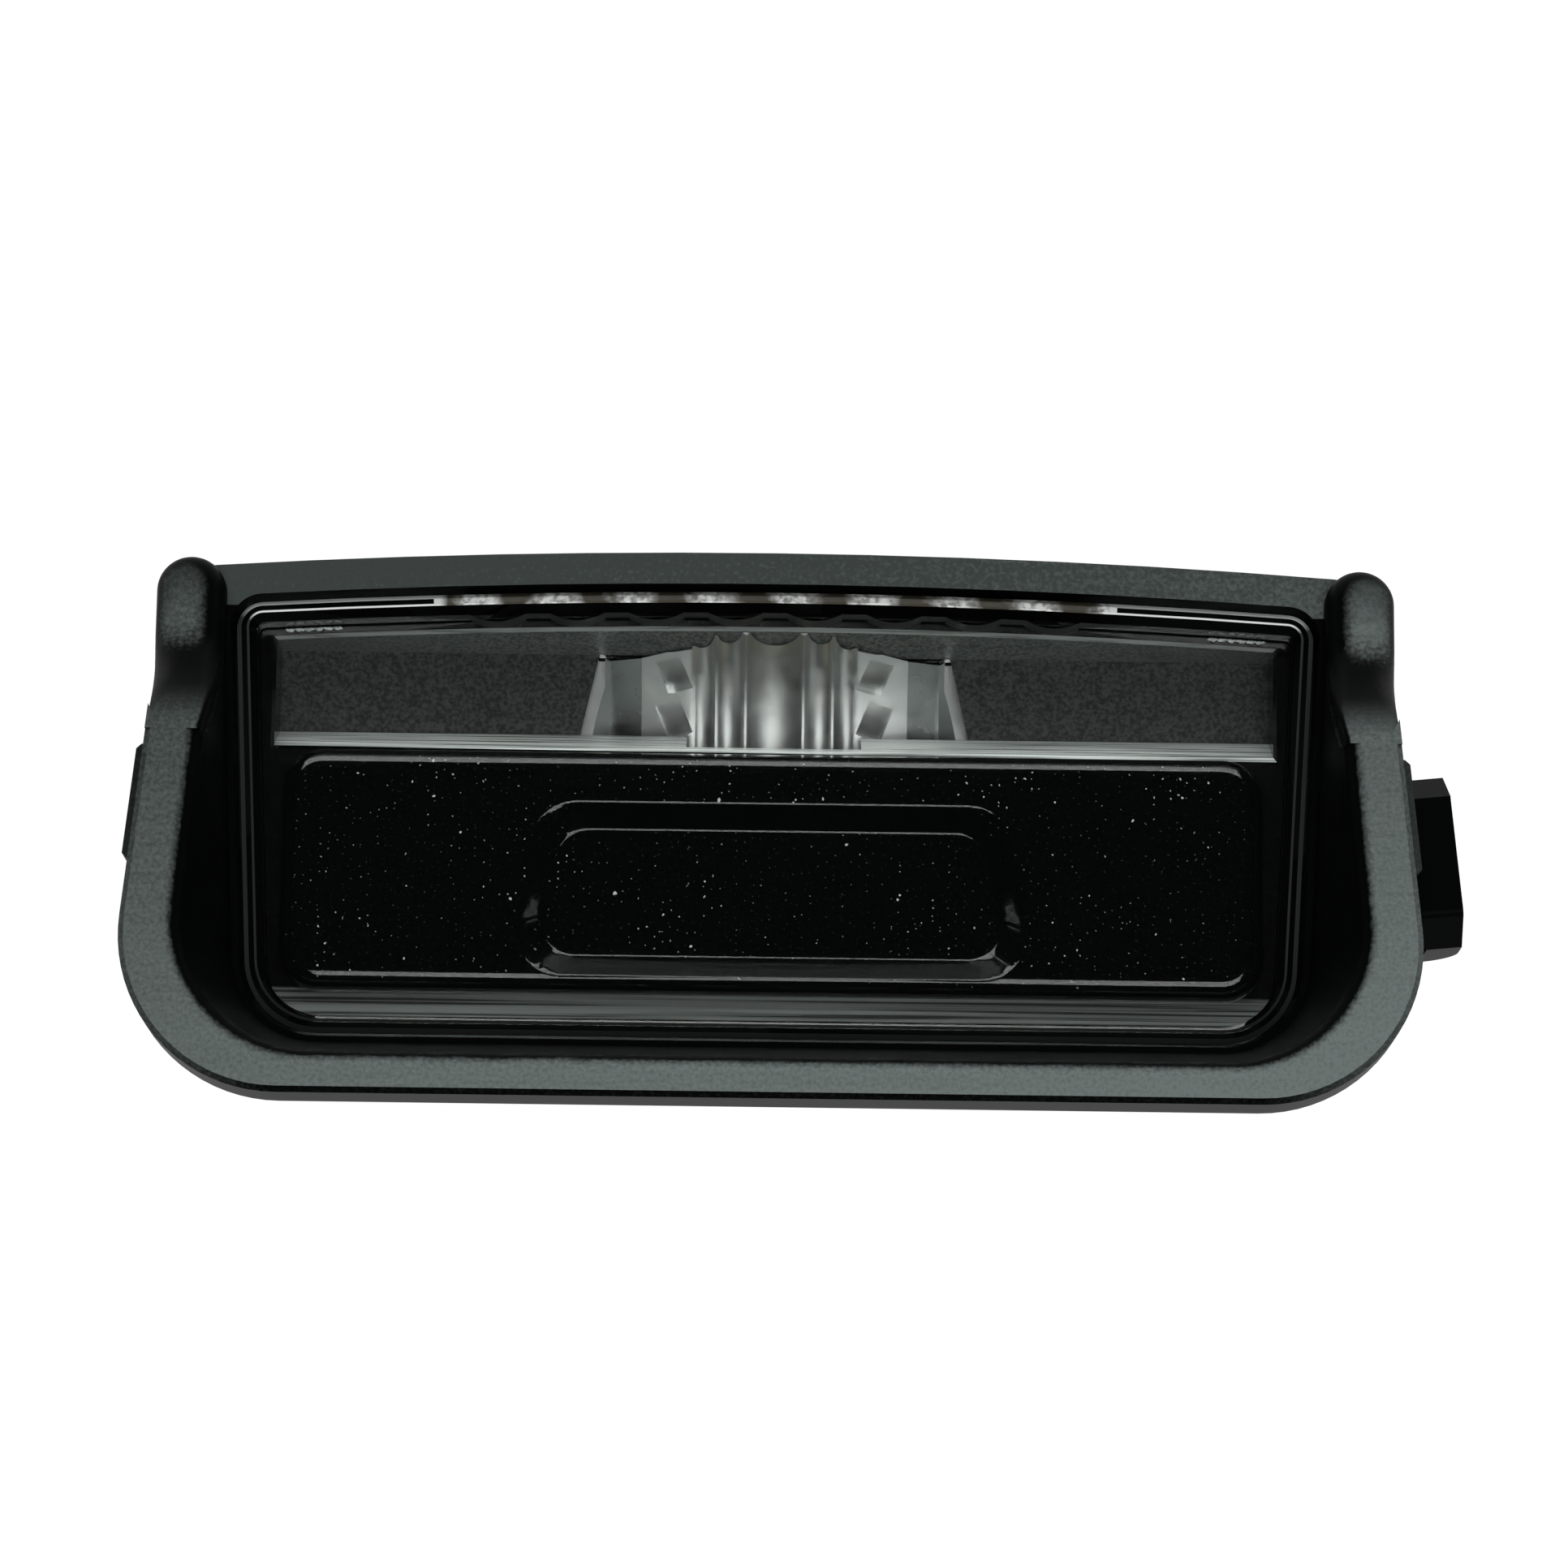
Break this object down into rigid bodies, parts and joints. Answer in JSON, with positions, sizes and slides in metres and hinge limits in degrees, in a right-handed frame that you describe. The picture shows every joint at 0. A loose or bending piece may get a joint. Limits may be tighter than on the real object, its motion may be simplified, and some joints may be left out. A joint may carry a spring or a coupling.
{
  "type": "number plate lamp",
  "caption": "Clip-in number plate lamp: recessed clear lens under a black U-shaped lip with rounded horns, gloss inner box, fluted reflector, rear connector socket and side spring tongue.",
  "frame": {"origin": "middle of the lens outline, in the plane of the side lugs' front faces, where the lamp stops against the back of its panel", "axes": "+X along the long side towards the spring tongue, +Y towards the open side that lights the plate, +Z the way the lens faces"},
  "size_m": [0.0973, 0.0422, 0.035],
  "materials": {
    "black_shell": "fine-grained moulded black polycarbonate blend, matte",
    "clear_lens": "clear moulded polycarbonate, polished",
    "gloss_black": "moulded gloss black polycarbonate",
    "bright_metal": "vacuum metallised moulding",
    "green_board": "glass fibre board under green solder mask",
    "zinc_steel": "zinc plated steel",
    "white_package": "white moulded case",
    "yellow_phosphor": "phosphor filled silicone",
    "black_package": "black moulded case",
    "tan_ceramic": "fired ceramic block",
    "tinned_brass": "stamped brass, tin plated",
    "vent_membrane": "porous fluoropolymer patch"
  },
  "bodies": {
    "root": {"housing": "black_shell", "lens": "clear_lens", "inner_bezel": "gloss_black", "reflector": "bright_metal", "circuit_board": "green_board", "board_screws": "zinc_steel", "led_body": "white_package", "led_phosphor": "yellow_phosphor", "regulator_chip": "black_package", "chip_resistors": "black_package", "chip_capacitors": "tan_ceramic", "reverse_diode": "black_package", "surge_diode": "black_package", "terminal_positive": "tinned_brass", "terminal_negative": "tinned_brass", "rear_cover": "black_shell", "vent_patch": "vent_membrane"}
  },
  "joints": []
}
